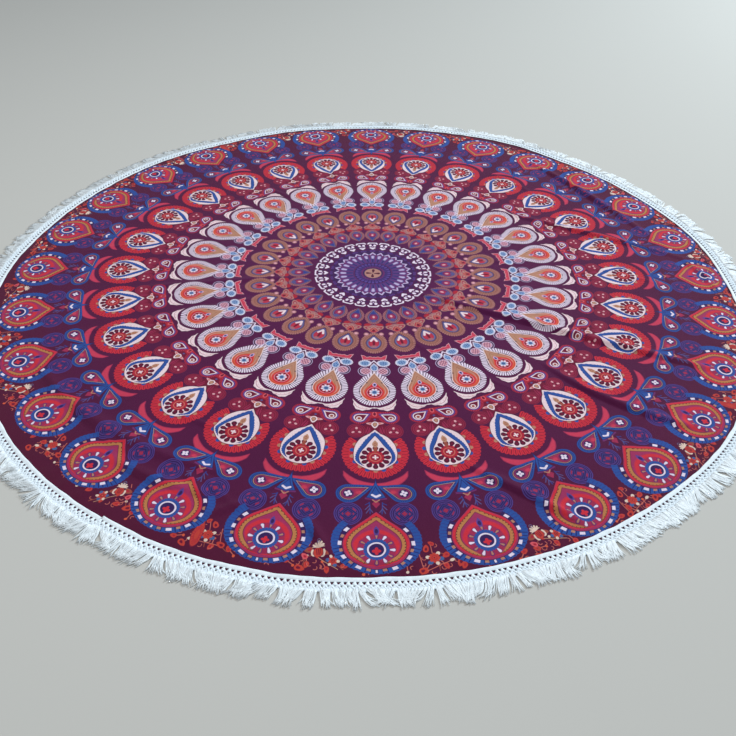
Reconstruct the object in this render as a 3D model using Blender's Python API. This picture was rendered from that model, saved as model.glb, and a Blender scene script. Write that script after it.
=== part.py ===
"""Round printed cotton throw with a knotted fringe, lying loosely spread on the floor.

Metres, +Z up. The origin is on the floor under the middle of the printed rosette.
+X is the viewer's right and +Y is the side of the throw that lies farthest away.
"""
import math
import random
from collections import namedtuple

import bmesh
import bpy
from mathutils import Vector
from mathutils.geometry import delaunay_2d_cdt

# Driving sizes of the cloth
PRINT_RADIUS = 0.855        # mean radius of the printed cotton that shows inside the trim
CLOTH_THICKNESS = 0.0012
CLOTH_UNDER_TAPE = 0.0070   # how far the hemmed edge reaches under the heading tape
PIECE_GAP = 0.0003          # between any two pieces

# Driving sizes of the trim, measured outwards from the edge of the print
TAPE_THICKNESS = 0.0012
TAPE_LAP = 0.0075           # the tape lies on the cloth up to here
TAPE_FLOOR = 0.0120         # and has come down to the floor here
NET_WIDTH = 0.0240          # outer edge of the knotted net
HOLE_START = 0.0134         # the holes of the net: wide side towards the tape
HOLE_WIDTH = 0.0085
HOLE_DEPTH = 0.0068
KNOT_BAND_WIDTH = 0.0037    # narrow band of knots that carries the locks
KNOT_BAND_THICKNESS = 0.0016
LOCK_LENGTH = 0.0320

# Division of the round
SECTORS = 28                # repeats of the print
HOLES_PER_SECTOR = 10
LOCKS = SECTORS * HOLES_PER_SECTOR
EDGE_STEPS = LOCKS // 2     # straight chords along every long edge
SUPPORT_RINGS = (0.30, 0.62)   # plain rings of points in the flat cloth, shares of the radius

# The trim's two ends meet here, one end a little further in than the other
JOIN_ANGLE = -120.0         # degrees in plan, counterclockwise from +X
JOIN_STEP = 0.0045
JOIN_EASE = 12.0            # degrees over which the step runs out
JOIN_HALF_GAP = 0.0004

# Folds are long soft ridges of the cloth
FOLD_STATION = 0.048        # distance between the cross sections of a fold
FOLD_ROWS = (-1.0, -0.5, 0.0, 0.5, 1.0)
FOLD_EDGE_MARGIN = 0.012    # the folds run out this far inside the edge of the print
FLAT_INSIDE_TAPE = 0.006    # and the cloth is flat from here out to its own edge

Sway = namedtuple("Sway", "angle share")
# Outline of the print: plan angle in degrees, radius as a share of the mean radius
EDGE_SWAYS = (
    Sway(-178.0, 1.012),
    Sway(-158.0, 1.018),
    Sway(-136.0, 1.024),
    Sway(-118.0, 1.021),
    Sway(-101.0, 1.013),
    Sway(-86.0, 1.002),
    Sway(-70.0, 0.998),
    Sway(-54.0, 0.995),
    Sway(-38.0, 1.000),
    Sway(-18.0, 0.992),
    Sway(-2.0, 0.988),
    Sway(14.0, 0.997),
    Sway(30.0, 0.992),
    Sway(47.0, 0.996),
    Sway(62.0, 1.016),
    Sway(79.0, 1.007),
    Sway(96.0, 0.997),
    Sway(108.0, 1.004),
    Sway(123.0, 0.995),
    Sway(138.0, 1.002),
    Sway(152.0, 0.999),
    Sway(167.0, 1.001),
)

Fold = namedtuple("Fold", "start_x start_y end_x end_y bow width height")
# Each fold runs from start to end, bowed to its left by "bow"; width and height at its middle
FOLDS = (
    Fold(0.452, 0.652, 0.724, 0.195, 0.010, 0.050, 0.0080),    # long crease, far right
    Fold(0.340, 0.312, 0.786, 0.090, 0.004, 0.046, 0.0070),    # crease, right
    Fold(0.100, -0.082, 0.735, -0.346, -0.004, 0.052, 0.0085),  # long crease, near right
    Fold(0.352, -0.324, 0.676, -0.524, -0.034, 0.046, 0.0065),  # curved crease, near right
    Fold(0.164, -0.612, 0.368, -0.752, 0.004, 0.042, 0.0060),  # short crease near the edge
    Fold(-0.692, -0.352, -0.241, -0.655, -0.050, 0.058, 0.0060),  # soft ripples, near left
    Fold(-0.468, -0.618, -0.264, -0.704, -0.010, 0.042, 0.0055),
    Fold(-0.278, -0.752, -0.148, -0.700, 0.003, 0.034, 0.0050),
    Fold(0.765, 0.104, 0.816, -0.078, 0.010, 0.034, 0.0055),   # pucker beside the right edge
    Fold(-0.560, -0.095, -0.180, -0.030, 0.004, 0.044, 0.0030),  # faint ripples, left
    Fold(-0.640, -0.270, -0.230, -0.105, -0.006, 0.046, 0.0035),
    Fold(-0.150, 0.640, -0.060, 0.250, 0.004, 0.044, 0.0030),  # faint ripples, far side
    Fold(0.150, 0.620, 0.070, 0.250, -0.004, 0.044, 0.0030),
)

Section = namedtuple("Section", "share half_width ridge")
# A lock of yarn: share of its length, half width on the floor, height of its ridge
LOCK_SECTIONS = (
    Section(0.00, 0.0034, KNOT_BAND_THICKNESS),
    Section(0.45, 0.0058, 0.0034),
    Section(1.00, 0.0072, 0.0016),
)
LOCK_LEAN_SWING = 0.0085    # sideways drift of a tip, in long slow waves round the throw
LOCK_LEAN_JITTER = 0.0012
LOCK_LENGTH_JITTER = 0.16
LOCK_SEED = 28

Finish = namedtuple("Finish", "color roughness")
FINISHES = {
    "printed_cotton": Finish((0.105, 0.020, 0.060), 0.88),
    "heading_tape": Finish((0.780, 0.800, 0.830), 0.85),
    "fringe_yarn": Finish((0.740, 0.770, 0.810), 0.90),
}


def ease(share):
    """Smooth step from 0 to 1."""
    share = min(max(share, 0.0), 1.0)
    return share * share * (3.0 - 2.0 * share)


def edge_radius(angle):
    """Radius of the print's edge at a plan angle in degrees."""
    first = EDGE_SWAYS[0]
    angle = (angle - first.angle) % 360.0 + first.angle
    rows = EDGE_SWAYS + (Sway(first.angle + 360.0, first.share),)
    for low, high in zip(rows, rows[1:]):
        if angle <= high.angle:
            share = ease((angle - low.angle) / (high.angle - low.angle))
            return PRINT_RADIUS * (low.share + (high.share - low.share) * share)
    return PRINT_RADIUS * first.share


def trim_edge(turn):
    """Inner edge of the trim, where turn is degrees counterclockwise past the join."""
    step = JOIN_STEP * (1.0 - ease(turn / JOIN_EASE))
    return edge_radius(JOIN_ANGLE + turn) - step


def trim_point(turn, outwards):
    """Plan point at a distance outwards of the trim's inner edge."""
    angle = math.radians(JOIN_ANGLE + turn)
    radius = trim_edge(turn) + outwards
    return Vector((radius * math.cos(angle), radius * math.sin(angle)))


def trim_place(point):
    """Turn past the join, and distance outwards of the tape's inner edge, of a plan point."""
    turn = (math.degrees(math.atan2(point.y, point.x)) - JOIN_ANGLE) % 360.0
    return turn, point.length - trim_edge(turn)


def trim_turns(steps):
    """Turns of the points along an edge, from one end of the trim to the other."""
    gap = math.degrees(JOIN_HALF_GAP / PRINT_RADIUS)
    span = 360.0 - 2.0 * gap
    return [gap + span * step / steps for step in range(steps + 1)]


def fold_frame(fold):
    """Start, length, direction and left-hand normal of a fold's chord."""
    start = Vector((fold.start_x, fold.start_y))
    chord = Vector((fold.end_x, fold.end_y)) - start
    direction = chord.normalized()
    return start, chord.length, direction, Vector((-direction.y, direction.x))


def fold_swell(share):
    """How full a fold is at a share of its length: 0 at its ends, 1 in its middle."""
    return math.sin(math.pi * share) ** 0.6


def fold_half_width(fold, share):
    return 0.5 * fold.width * (0.35 + 0.65 * fold_swell(share))


def fold_bow(fold, share):
    return fold.bow * 4.0 * share * (1.0 - share)


def fold_rise(fold, point):
    """Height of one fold over a plan point."""
    start, length, direction, normal = fold_frame(fold)
    share = (point - start).dot(direction) / length
    if not 0.0 < share < 1.0:
        return 0.0
    across = (point - start).dot(normal) - fold_bow(fold, share)
    bell = 1.0 - abs(across) / fold_half_width(fold, share)
    return fold.height * fold_swell(share) * ease(bell)


def cloth_rise(point):
    """Height of the cloth's underside over a plan point."""
    inside = edge_radius(math.degrees(math.atan2(point.y, point.x))) - point.length
    flatten = ease((inside - FOLD_EDGE_MARGIN) / 0.030)
    return flatten * max(fold_rise(fold, point) for fold in FOLDS)


def fold_lines(fold):
    """Rows of plan points along a fold, side by side across it."""
    start, length, direction, normal = fold_frame(fold)
    stations = max(4, round(length / FOLD_STATION))
    lines = []
    for row in FOLD_ROWS:
        line = []
        for station in range(stations + 1):
            share = 0.002 + 0.996 * station / stations
            offset = fold_bow(fold, share) + row * fold_half_width(fold, share)
            line.append(start + direction * (length * share) + normal * offset)
        lines.append(line)
    return lines


def sheet_solid(outline, holes, lines, points, belongs, base_height, thickness):
    """Closed sheet over a plan outline, with holes, creased along lines of points.

    The test belongs says whether a plan point lies on the sheet, its holes aside.
    """
    plan = []
    edges = []
    hole_of = []

    def add_run(run, closed, hole=None):
        first = len(plan)
        plan.extend(run)
        hole_of.extend([hole] * len(run))
        edges.extend((first + i, first + i + 1) for i in range(len(run) - 1))
        if closed:
            edges.append((first + len(run) - 1, first))

    add_run(outline, True)
    for index, hole in enumerate(holes):
        add_run(hole, True, index)
    for line in lines:
        add_run(line, False)
    for point in points:
        add_run([point], False)
    flat, _, faces, sources, _, _ = delaunay_2d_cdt(plan, edges, [], 1, 1e-7, True)

    def is_gap(face):
        marks = {hole_of[sources[corner][0]] if sources[corner] else None for corner in face}
        centre = sum((flat[corner] for corner in face), Vector((0.0, 0.0))) / len(face)
        return (len(marks) == 1 and None not in marks) or not belongs(centre)

    mesh = bmesh.new()
    low = [mesh.verts.new((p.x, p.y, base_height(p))) for p in flat]
    high = [mesh.verts.new(v.co + Vector((0.0, 0.0, thickness))) for v in low]
    for face in faces:
        if is_gap(face):
            continue
        mesh.faces.new([high[i] for i in face])
        mesh.faces.new([low[i] for i in reversed(face)])
    twin = {v: w for v, w in zip(low, high)}
    for edge in [e for e in mesh.edges if e.is_boundary and e.verts[0] in twin]:
        a, b = edge.verts
        mesh.faces.new([a, b, twin[b]])
        mesh.faces.new([a, twin[b], twin[a]])
    loose = [v for v in mesh.verts if not v.link_faces]
    bmesh.ops.delete(mesh, geom=loose, context="VERTS")
    bmesh.ops.recalc_face_normals(mesh, faces=mesh.faces)
    return mesh


def material(name):
    finish = FINISHES[name]
    made = bpy.data.materials.new(name)
    made.use_nodes = True
    shader = made.node_tree.nodes["Principled BSDF"]
    shader.inputs["Base Color"].default_value = (*finish.color, 1.0)
    shader.inputs["Roughness"].default_value = finish.roughness
    shader.inputs["Metallic"].default_value = 0.0
    made.diffuse_color = (*finish.color, 1.0)
    return made


def add_object(name, mesh, material_name, parent):
    data = bpy.data.meshes.new(name)
    mesh.to_mesh(data)
    mesh.free()
    data.materials.append(material(material_name))
    data.shade_smooth()
    data.set_sharp_from_angle(angle=math.radians(35.0))
    made = bpy.data.objects.new(name, data)
    bpy.context.scene.collection.objects.link(made)
    made.parent = parent
    return made


def support_points():
    """Plain points of the flat cloth, kept off the folds."""
    points = []
    for share in SUPPORT_RINGS:
        for step in range(SECTORS):
            angle = 2.0 * math.pi * (step + 0.5) / SECTORS
            point = Vector((math.cos(angle), math.sin(angle))) * PRINT_RADIUS * share
            if cloth_rise(point) == 0.0:
                points.append(point)
    return points


def on_cloth(point):
    """Whether a plan point lies on the cloth, inside its cut edge."""
    return trim_place(point)[1] < CLOTH_UNDER_TAPE


def cloth():
    """Printed cotton disc: its hem is part of it, and it lifts off the floor in its folds."""
    outline = [trim_point(turn, CLOTH_UNDER_TAPE) for turn in trim_turns(EDGE_STEPS)]
    lines = [line for fold in FOLDS for line in fold_lines(fold)]
    lines.append([trim_point(turn, -FLAT_INSIDE_TAPE) for turn in trim_turns(EDGE_STEPS // 2)])
    return sheet_solid(outline, [], lines, support_points(), on_cloth, cloth_rise, CLOTH_THICKNESS)


def net_hole(turn, half_pitch):
    """One triangular gap of the knotted net, its wide side towards the tape."""
    half_turn = half_pitch * HOLE_WIDTH / (2.0 * math.pi * PRINT_RADIUS / LOCKS)
    return [
        trim_point(turn - half_turn, HOLE_START),
        trim_point(turn + half_turn, HOLE_START),
        trim_point(turn, HOLE_START + HOLE_DEPTH),
    ]


def heading():
    """Tape that laps over the cloth's edge and comes down to the floor as an open net."""
    turns = trim_turns(EDGE_STEPS)
    inner = [trim_point(turn, 0.0) for turn in turns]
    outer = [trim_point(turn, NET_WIDTH) for turn in turns]
    fine_turns = trim_turns(LOCKS)
    pitch = fine_turns[1] - fine_turns[0]
    holes = [net_hole(turn + 0.5 * pitch, pitch) for turn in fine_turns[:-1]]
    lap_line = [trim_point(turn, TAPE_LAP) for turn in turns]
    floor_line = [trim_point(turn, TAPE_FLOOR) for turn in turns]
    lap_height = CLOTH_THICKNESS + PIECE_GAP

    def on_trim(point):
        turn, outwards = trim_place(point)
        return 0.0 < outwards < NET_WIDTH and turns[0] < turn < turns[-1]

    def height(point):
        share = (TAPE_FLOOR - trim_place(point)[1]) / (TAPE_FLOOR - TAPE_LAP)
        return lap_height * min(max(share, 0.0), 1.0)

    outline = inner + outer[::-1]
    return sheet_solid(outline, holes, [lap_line, floor_line], [], on_trim, height, TAPE_THICKNESS)


def zip_rows(mesh, row_a, row_b):
    """Triangles between two rows of (turn, vertex) that run the same way."""
    a = 0
    b = 0
    while a < len(row_a) - 1 or b < len(row_b) - 1:
        next_a = row_a[a + 1][0] if a < len(row_a) - 1 else math.inf
        next_b = row_b[b + 1][0] if b < len(row_b) - 1 else math.inf
        if next_a <= next_b:
            mesh.faces.new([row_a[a][1], row_a[a + 1][1], row_b[b][1]])
            a += 1
        else:
            mesh.faces.new([row_a[a][1], row_b[b + 1][1], row_b[b][1]])
            b += 1


def lock_rings(mesh, turn, lean, length):
    """Three-sided rings of points of one lock, from its root to its tip."""
    root = trim_point(turn, NET_WIDTH + PIECE_GAP + KNOT_BAND_WIDTH)
    outward = root.normalized()
    sideways = Vector((-outward.y, outward.x))
    rings = []
    for section in LOCK_SECTIONS:
        centre = root + outward * (length * section.share) + sideways * (lean * section.share ** 1.5)
        right = centre - sideways * section.half_width
        left = centre + sideways * section.half_width
        rings.append((
            mesh.verts.new((right.x, right.y, 0.0)),
            mesh.verts.new((left.x, left.y, 0.0)),
            mesh.verts.new((centre.x, centre.y, section.ridge)),
        ))
    return rings


def lock_lean(turn, wobble):
    """Sideways drift of a lock's tip."""
    angle = math.radians(turn)
    wave = 0.55 * math.sin(7.0 * angle + 0.6) + 0.45 * math.sin(17.0 * angle + 2.1)
    return LOCK_LEAN_SWING * wave + LOCK_LEAN_JITTER * wobble


def fringe():
    """Narrow band of knots with locks of cut yarn that lie on the floor."""
    chance = random.Random(LOCK_SEED)
    mesh = bmesh.new()
    band_start = NET_WIDTH + PIECE_GAP
    band_end = band_start + KNOT_BAND_WIDTH

    def rise(turn, outwards, height):
        point = trim_point(turn, outwards)
        return turn, mesh.verts.new((point.x, point.y, height))

    turns = trim_turns(EDGE_STEPS)
    inner_low = [rise(turn, band_start, 0.0) for turn in turns]
    inner_high = [rise(turn, band_start, KNOT_BAND_THICKNESS) for turn in turns]
    outer_low = [rise(turns[0], band_end, 0.0)]
    outer_high = [rise(turns[0], band_end, KNOT_BAND_THICKNESS)]
    fine_turns = trim_turns(LOCKS)
    pitch = fine_turns[1] - fine_turns[0]
    for start in fine_turns[:-1]:
        turn = start + 0.5 * pitch
        lean = lock_lean(turn, chance.uniform(-1.0, 1.0))
        length = LOCK_LENGTH * (1.0 + LOCK_LENGTH_JITTER * chance.uniform(-1.0, 1.0))
        rings = lock_rings(mesh, turn, lean, length)
        for near, far in zip(rings, rings[1:]):
            for side in range(3):
                other = (side + 1) % 3
                mesh.faces.new([near[side], near[other], far[other]])
                mesh.faces.new([near[side], far[other], far[side]])
        mesh.faces.new(rings[-1])
        right, left, ridge = rings[0]
        mesh.faces.new([outer_low[-1][1], right, ridge])
        mesh.faces.new([outer_low[-1][1], ridge, outer_high[-1][1]])
        outer_low += [(turn - 0.1 * pitch, right), (turn + 0.1 * pitch, left)]
        outer_high.append((turn, ridge))
    outer_low.append(rise(turns[-1], band_end, 0.0))
    outer_high.append(rise(turns[-1], band_end, KNOT_BAND_THICKNESS))
    mesh.faces.new([outer_low[-2][1], outer_low[-1][1], outer_high[-1][1]])
    mesh.faces.new([outer_low[-2][1], outer_high[-1][1], outer_high[-2][1]])
    zip_rows(mesh, inner_high, outer_high)
    zip_rows(mesh, inner_low, outer_low)
    zip_rows(mesh, inner_low, inner_high)
    for end in (0, -1):
        corners = [row[end][1] for row in (inner_low, inner_high, outer_high, outer_low)]
        mesh.faces.new(corners)
    bmesh.ops.recalc_face_normals(mesh, faces=mesh.faces)
    return mesh


def main():
    for old in list(bpy.data.objects):
        bpy.data.objects.remove(old, do_unlink=True)
    throw = bpy.data.objects.new("throw", None)
    bpy.context.scene.collection.objects.link(throw)
    add_object("cloth", cloth(), "printed_cotton", throw)
    add_object("heading", heading(), "heading_tape", throw)
    add_object("fringe", fringe(), "fringe_yarn", throw)


main()
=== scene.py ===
"""Looks of the round printed throw: cotton sheet, heading tape, knotted net and yarn fringe."""

import math
import random
from collections import namedtuple
from functools import partial, partialmethod

import bmesh
import bpy
import numpy as np
from mathutils import Matrix, Vector


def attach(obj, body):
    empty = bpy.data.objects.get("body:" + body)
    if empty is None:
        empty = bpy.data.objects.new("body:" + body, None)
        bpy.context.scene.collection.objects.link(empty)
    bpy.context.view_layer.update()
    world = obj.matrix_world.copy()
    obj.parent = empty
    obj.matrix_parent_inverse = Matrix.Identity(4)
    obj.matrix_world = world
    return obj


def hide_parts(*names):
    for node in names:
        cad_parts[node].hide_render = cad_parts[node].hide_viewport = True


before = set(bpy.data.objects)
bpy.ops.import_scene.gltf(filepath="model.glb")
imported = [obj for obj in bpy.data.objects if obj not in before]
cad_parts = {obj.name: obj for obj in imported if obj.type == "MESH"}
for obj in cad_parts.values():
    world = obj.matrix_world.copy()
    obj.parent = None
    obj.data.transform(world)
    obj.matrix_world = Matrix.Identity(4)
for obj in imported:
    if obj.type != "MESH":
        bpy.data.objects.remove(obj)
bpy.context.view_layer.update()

# Sizes in metres, as in the frame's own model
PRINT_RADIUS = 0.855         # mean radius of the print that shows
SECTORS = 28                 # repeats of the print round the middle
PRINT_TURN = math.radians(1.2)
JOIN_ANGLE = math.radians(-120.0)   # where the trim's two ends meet
UV_SPAN = 1.84               # width of the cloth's square map

# The folds of the frame's cloth: each runs from start to end, bowed to its left
Fold = namedtuple("Fold", "start_x start_y end_x end_y bow width height")
FOLDS = (
    Fold(0.452, 0.652, 0.724, 0.195, 0.01, 0.05, 0.008),
    Fold(0.34, 0.312, 0.786, 0.09, 0.004, 0.046, 0.007),
    Fold(0.1, -0.082, 0.735, -0.346, -0.004, 0.052, 0.0085),
    Fold(0.352, -0.324, 0.676, -0.524, -0.034, 0.046, 0.0065),
    Fold(0.164, -0.612, 0.368, -0.752, 0.004, 0.042, 0.006),
    Fold(-0.692, -0.352, -0.241, -0.655, -0.05, 0.058, 0.006),
    Fold(-0.468, -0.618, -0.264, -0.704, -0.01, 0.042, 0.0055),
    Fold(-0.278, -0.752, -0.148, -0.7, 0.003, 0.034, 0.005),
    Fold(0.765, 0.104, 0.816, -0.078, 0.01, 0.034, 0.0055),
    Fold(-0.56, -0.095, -0.18, -0.03, 0.004, 0.044, 0.003),
    Fold(-0.64, -0.27, -0.23, -0.105, -0.006, 0.046, 0.0035),
    Fold(-0.15, 0.64, -0.06, 0.25, 0.004, 0.044, 0.003),
    Fold(0.15, 0.62, 0.07, 0.25, -0.004, 0.044, 0.003),
)


def srgb(red, green, blue):
    """Linear colour of a display colour given from 0 to 255."""
    shares = [c / 255.0 for c in (red, green, blue)]
    return tuple(s / 12.92 if s <= 0.04045 else ((s + 0.055) / 1.055) ** 2.4 for s in shares)


# Inks of the print
PLUM = srgb(82, 21, 70)
AUBERGINE = srgb(78, 18, 60)
MAROON = srgb(80, 18, 48)
WINE = srgb(106, 20, 50)
DARK = srgb(52, 16, 46)
INDIGO = srgb(50, 30, 84)
GRAPE = srgb(104, 42, 98)
DUSK = srgb(76, 58, 124)
VIOLET = srgb(86, 62, 136)
HEATHER = srgb(186, 168, 206)
PALE = srgb(222, 208, 226)
BLUSH = srgb(226, 202, 208)
PINK = srgb(214, 156, 166)
MAUVE = srgb(156, 100, 108)
ROSEWOOD = srgb(152, 42, 78)
FUCHSIA = srgb(152, 46, 90)
CRIMSON = srgb(190, 56, 84)
BRICK = srgb(164, 36, 54)
RED = srgb(196, 44, 60)
SCARLET = srgb(182, 60, 52)
CORAL = srgb(206, 84, 96)
SALMON = srgb(192, 102, 90)
ORANGE = srgb(206, 88, 60)
TAN = srgb(174, 120, 100)
CLAY = srgb(172, 124, 116)
GARNET = srgb(138, 36, 66)
CARMINE = srgb(178, 48, 70)
BISCUIT = srgb(178, 132, 108)
OCHRE = srgb(178, 117, 72)
RUST = srgb(146, 72, 60)
SKY = srgb(164, 180, 208)
POWDER = srgb(122, 148, 190)
STEEL = srgb(104, 102, 142)
SLATE = srgb(84, 78, 132)
BLUE = srgb(42, 76, 148)
ROYAL = srgb(48, 60, 132)
NAVY = srgb(34, 28, 86)
CREAM = srgb(216, 192, 178)
DENIM = srgb(66, 92, 142)

# Shares of the print's radius
WOBBLE = 0.003               # how far the print wanders in small waves
WOBBLE_GRAIN = 34.0
SLACK = 0.005                # how far the middle of the print lies nearer the viewer
SLACK_FALL = 0.0083          # how fast that fades towards the rim

Spot = namedtuple("Spot", "du dv rho theta")


class Ink:
    """Shader nodes that paint the print. Lengths are shares of the print's radius.

    u is the distance from the middle line of the nearest repeat, and v the distance from
    the middle of the rosette along that line, so what is painted mirrors on that line.
    limit, where it is set, is how each distance is joined with a value before it is painted:
    (high, value) keeps to where the value is below 0, and (add, value) to where it is 0.
    """

    EDGE = 0.0011            # softness of an ink edge

    def __init__(self, material):
        self.tree = material.node_tree
        self.nodes = self.tree.nodes
        self.links = self.tree.links
        self.color = None
        self.limit = None

    def put(self, socket, value):
        if isinstance(value, bpy.types.NodeSocket):
            self.links.new(value, socket)
        elif isinstance(value, tuple):
            socket.default_value = (*value, 1.0) if len(socket.default_value) == 4 else value
        else:
            socket.default_value = value

    def calc(self, operation, *values, clamp=False):
        made = self.nodes.new("ShaderNodeMath")
        made.operation = operation
        made.use_clamp = clamp
        for socket, value in zip(made.inputs, values):
            self.put(socket, value)
        return made.outputs[0]

    add = partialmethod(calc, "ADD")
    sub = partialmethod(calc, "SUBTRACT")
    mul = partialmethod(calc, "MULTIPLY")
    low = partialmethod(calc, "MINIMUM")
    high = partialmethod(calc, "MAXIMUM")
    sin = partialmethod(calc, "SINE")
    cos = partialmethod(calc, "COSINE")
    abs = partialmethod(calc, "ABSOLUTE")
    pingpong = partialmethod(calc, "PINGPONG")
    line = partialmethod(calc, "MULTIPLY_ADD")     # a value, its slope and what is added

    def ramp(self, a, start, width):
        """Share that grows from 0 to 1 over a width."""
        return self.line(a, 1.0 / width, -start / width, clamp=True)

    def length(self, a, b):
        return self.calc("SQRT", self.line(b, b, self.mul(a, a)))

    def blend(self, factor, color_a, color_b):
        made = self.nodes.new("ShaderNodeMix")
        made.data_type = "RGBA"
        self.put(made.inputs[0], factor)
        self.put(made.inputs[6], color_a)
        self.put(made.inputs[7], color_b)
        return made.outputs[2]

    def noise(self, vector, scale, detail=2.0):
        made = self.nodes.new("ShaderNodeTexNoise")
        self.put(made.inputs["Vector"], vector)
        made.inputs["Scale"].default_value = scale
        made.inputs["Detail"].default_value = detail
        return made

    def bump(self, shader, height, strength, distance):
        made = self.nodes.new("ShaderNodeBump")
        made.inputs["Strength"].default_value = strength
        made.inputs["Distance"].default_value = distance
        self.put(made.inputs["Height"], height)
        self.links.new(made.outputs[0], shader.inputs["Normal"])

    def cover(self, distance, softness=EDGE):
        """Share of ink at a signed distance: 1 inside, 0 outside."""
        return self.line(distance, -1.0 / softness, 0.5, clamp=True)

    def paint(self, distance, color, softness=EDGE):
        if self.limit:
            join, value = self.limit
            distance = join(distance, value)
        self.color = self.blend(self.cover(distance, softness), self.color, color)

    def draw(self, form, *rows):
        """Paints a form for each row of its numbers, its colour and, where it has one, its softness."""
        for row in rows:
            count = next(k for k, value in enumerate(row) if isinstance(value, tuple))
            self.paint(form(*row[:count]), *row[count:])

    def fill(self, size, *rows):
        """Paints inside each edge of a size, given as (edge, colour)."""
        self.draw(partial(self.sub, size), *rows)

    def bands(self, size, *rows):
        """Paints bands of a size, given as (inner, outer, colour)."""
        self.draw(partial(self.ring, size), *rows)

    def beads(self, spot, *rows):
        """Paints rings of dots about a spot, given as their numbers and colour."""
        self.draw(partial(self.dots, spot), *rows)

    def ribs(self, spot, *rows):
        """Paints rays about a spot, given as their numbers and colour."""
        self.draw(partial(self.rays, spot), *rows)

    def ring(self, size, inner, outer):
        """Signed distance of the band between two sizes."""
        middle = 0.5 * (inner + outer)
        offset = self.abs(self.sub(size, middle))
        return self.sub(offset, 0.5 * (outer - inner))

    def place(self):
        """The plan position of a point of the cloth, and its place in its repeat."""
        made = self.nodes.new("ShaderNodeUVMap")
        made.uv_map = "OFBake"
        scaled = self.nodes.new("ShaderNodeVectorMath")
        scaled.operation = "MULTIPLY_ADD"
        self.put(scaled.inputs[0], made.outputs[0])
        span = UV_SPAN / PRINT_RADIUS
        scaled.inputs[1].default_value = (span, span, 0.0)
        scaled.inputs[2].default_value = (-0.5 * span, -0.5 * span, 0.0)
        self.plan = scaled.outputs[0]
        wobble = self.noise(self.plan, WOBBLE_GRAIN, 1.0)
        warp = self.nodes.new("ShaderNodeVectorMath")
        warp.operation = "MULTIPLY_ADD"
        self.put(warp.inputs[0], wobble.outputs["Color"])
        warp.inputs[1].default_value = (WOBBLE, WOBBLE, 0.0)
        self.put(warp.inputs[2], self.plan)
        split = self.nodes.new("ShaderNodeSeparateXYZ")
        self.put(split.inputs[0], warp.outputs[0])
        x = self.sub(split.outputs[0], 0.5 * WOBBLE)
        y = self.sub(split.outputs[1], 0.5 * WOBBLE)
        y = self.add(y, self.line(self.length(x, y), -SLACK_FALL, SLACK, clamp=True))
        self.radius = self.length(x, y)
        self.angle = self.sub(self.calc("ARCTAN2", y, x), PRINT_TURN)
        fold = self.pingpong(self.angle, math.pi / SECTORS)
        self.u = self.mul(self.radius, self.sin(fold))
        self.v = self.mul(self.radius, self.cos(fold))

    def cells(self, count):
        """Number of the cell round the middle, and the angle from that cell's middle line."""
        step = 2.0 * math.pi / count
        cell = self.calc("FLOOR", self.calc("DIVIDE", self.angle, step))
        return cell, self.sub(self.sub(self.angle, self.mul(cell, step)), 0.5 * step)

    def turn_to(self, aside, out, turn):
        """Makes u and v the place in a frame of its own, turned by an angle."""
        cos, sin = self.cos(turn), self.sin(turn)
        self.u = self.sub(self.mul(aside, cos), self.mul(out, sin))
        self.v = self.add(self.mul(aside, sin), self.mul(out, cos))

    def spot(self, along, aside=0.0, stretch=1.0):
        """Polar frame about a point; theta is 0 towards the middle of the rosette."""
        du = self.sub(self.u, aside) if aside else self.u
        dv = self.line(self.v, -1.0 / stretch, along / stretch)
        return Spot(du, dv, self.length(du, dv), self.calc("ARCTAN2", du, dv))

    def leaf(self, spot, tip, spread, power=1.4, lean=0.0):
        """Distance from a spot in units that make a round form with one pointed tip.

        tip is how much further the point reaches than the round, spread the half angle
        of the point in degrees, and lean the angle by which the point is turned.
        """
        theta = self.sub(spot.theta, math.radians(lean)) if lean else spot.theta
        away = self.abs(theta)
        near = self.line(away, -1.0 / math.radians(spread), 1.0, clamp=True)
        reach = self.line(self.calc("POWER", near, power), tip, 1.0)
        return self.calc("DIVIDE", spot.rho, reach)

    def drop(self, spot, pointed, lean=0.0):
        """Distance from a spot in units that make a round with straight sides to a point.

        pointed is the half angle in degrees over which the sides leave the round.
        """
        theta = self.sub(spot.theta, math.radians(lean)) if lean else spot.theta
        rest = self.high(self.sub(math.radians(pointed), self.abs(theta)), 0.0)
        return self.mul(spot.rho, self.cos(rest))

    def diamond(self, along, aside, half_u, half_v):
        du = self.abs(self.line(self.u, 1.0 / half_u, -aside / half_u))
        dv = self.abs(self.line(self.v, 1.0 / half_v, -along / half_v))
        return self.mul(self.sub(self.add(du, dv), 1.0), 0.7 * min(half_u, half_v))

    def fan(self, spot, count, phase):
        """Distance from the nearest of some lines that leave a spot evenly."""
        turned = self.add(spot.theta, math.radians(phase)) if phase else spot.theta
        return self.mul(self.pingpong(turned, math.pi / count), spot.rho)

    def rays(self, spot, count, start, end, width, phase=0.0, taper=0.5):
        """Round-ended strokes about a spot, narrower at their start by the taper."""
        aside, rho = self.fan(spot, count, phase), spot.rho
        cap = end - width
        share = self.line(rho, (1.0 - taper) / (cap - start),
                          taper - (1.0 - taper) * start / (cap - start), clamp=True)
        beyond = self.high(self.sub(rho, cap), 0.0)
        behind = self.high(self.sub(start, rho), 0.0)
        along = self.add(beyond, behind)
        return self.sub(self.length(aside, along), self.mul(share, width))

    def dots(self, spot, count, at, size, phase=0.0):
        """Round dots in a ring about a spot."""
        aside = self.fan(spot, count, phase)
        return self.sub(self.length(aside, self.sub(spot.rho, at)), size)

    def disc(self, along, aside, size):
        du = self.sub(self.u, aside)
        dv = self.sub(self.v, along)
        return self.sub(self.length(du, dv), size)

    def oval(self, along, aside, half_u, half_v):
        du = self.line(self.u, 1.0 / half_u, -aside / half_u)
        dv = self.line(self.v, 1.0 / half_v, -along / half_v)
        return self.mul(self.sub(self.length(du, dv), 1.0), min(half_u, half_v))

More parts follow.
